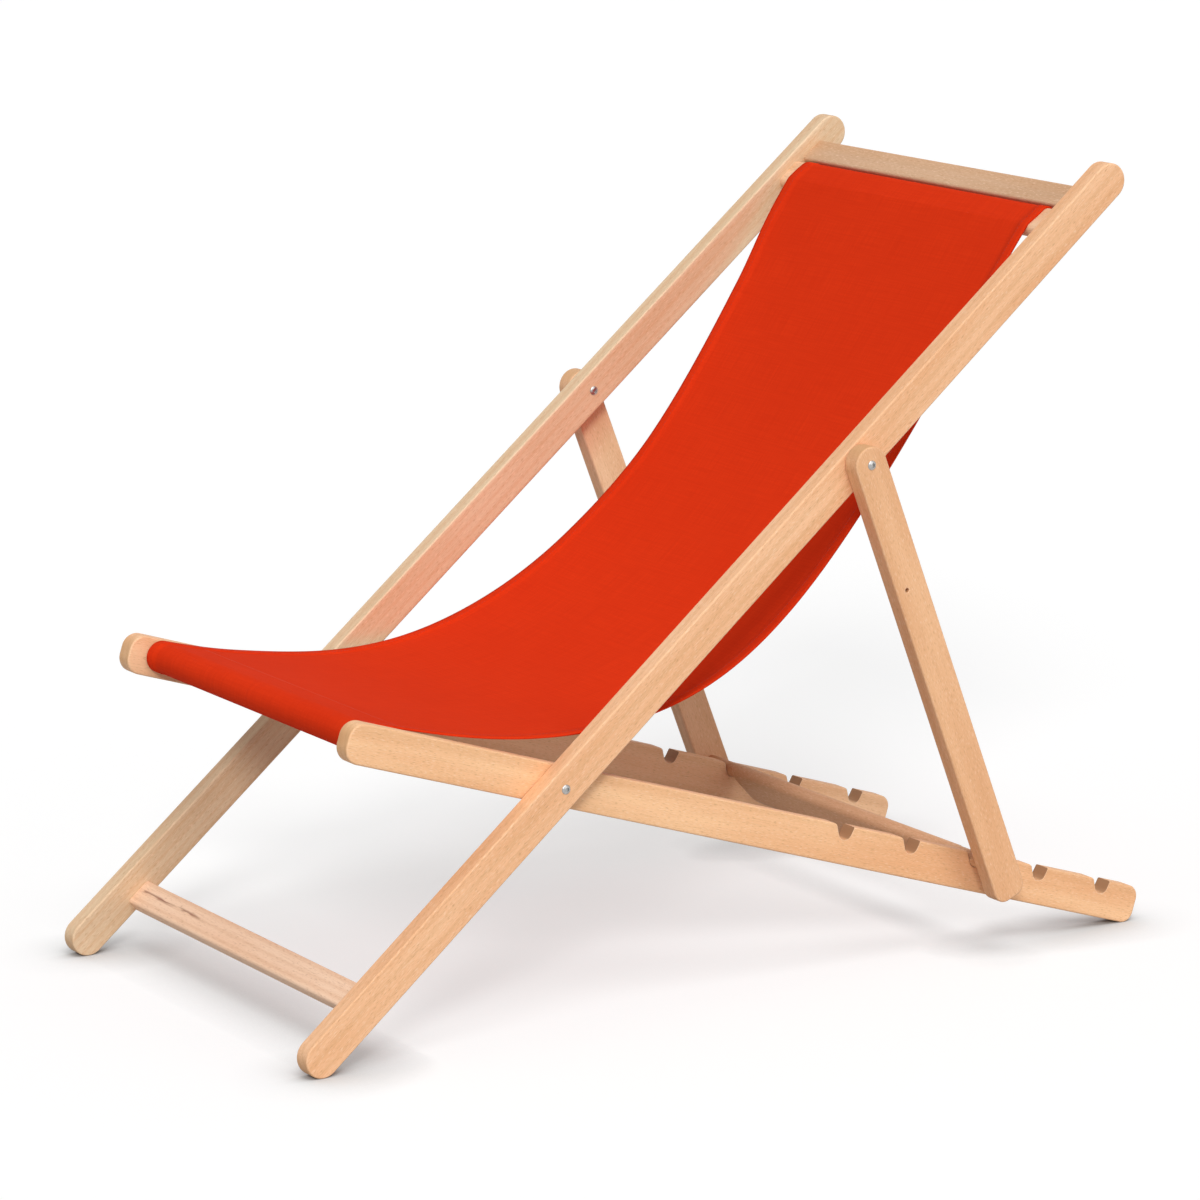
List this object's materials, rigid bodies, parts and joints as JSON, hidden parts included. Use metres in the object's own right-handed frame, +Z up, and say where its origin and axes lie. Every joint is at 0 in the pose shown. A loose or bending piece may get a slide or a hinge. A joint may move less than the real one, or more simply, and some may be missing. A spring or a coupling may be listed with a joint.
{
  "type": "deck chair",
  "caption": "Folding wooden deck chair: long back frame, notched seat frame and prop frame joined by pivots, with a red cloth sling seat.",
  "frame": {"origin": "on the floor under the middle of the chair's width and length", "axes": "+X to the sitter's left, +Y rearward, +Z up"},
  "size_m": [0.5924, 1.0914, 0.8692],
  "materials": {
    "wood": "bare sanded beech",
    "steel": "zinc plated",
    "cloth": "plain woven canvas"
  },
  "bodies": {
    "back_frame": {"back_rail_left": "wood", "back_rail_right": "wood", "head_slat": "wood", "guide_slat": "wood", "foot_slat": "wood", "cloth_rod": "wood", "sling": "cloth", "pivot_pins": "steel", "pivot_washers": "steel"},
    "seat_frame": {"seat_rail_left": "wood", "seat_rail_right": "wood", "front_rail": "wood"},
    "prop_frame": {"prop_strut_left": "wood", "prop_strut_right": "wood", "prop_crossbar": "wood"}
  },
  "joints": [
    {"name": "seat_pivot", "type": "hinge", "parent": "back_frame", "child": "seat_frame", "pos_m": [0, -0.23536, 0.26362], "axis": [1, 0, 0], "range_deg": [-20, 0], "deforming": ["sling"]},
    {"name": "prop_pivot", "type": "hinge", "parent": "back_frame", "child": "prop_frame", "pos_m": [0, 0.13249, 0.57228], "axis": [1, 0, 0], "range_deg": [-6, 0]}
  ],
  "couplings": [
    {"joint": "prop_pivot", "follows": "seat_pivot", "ratio": 0.3}
  ]
}
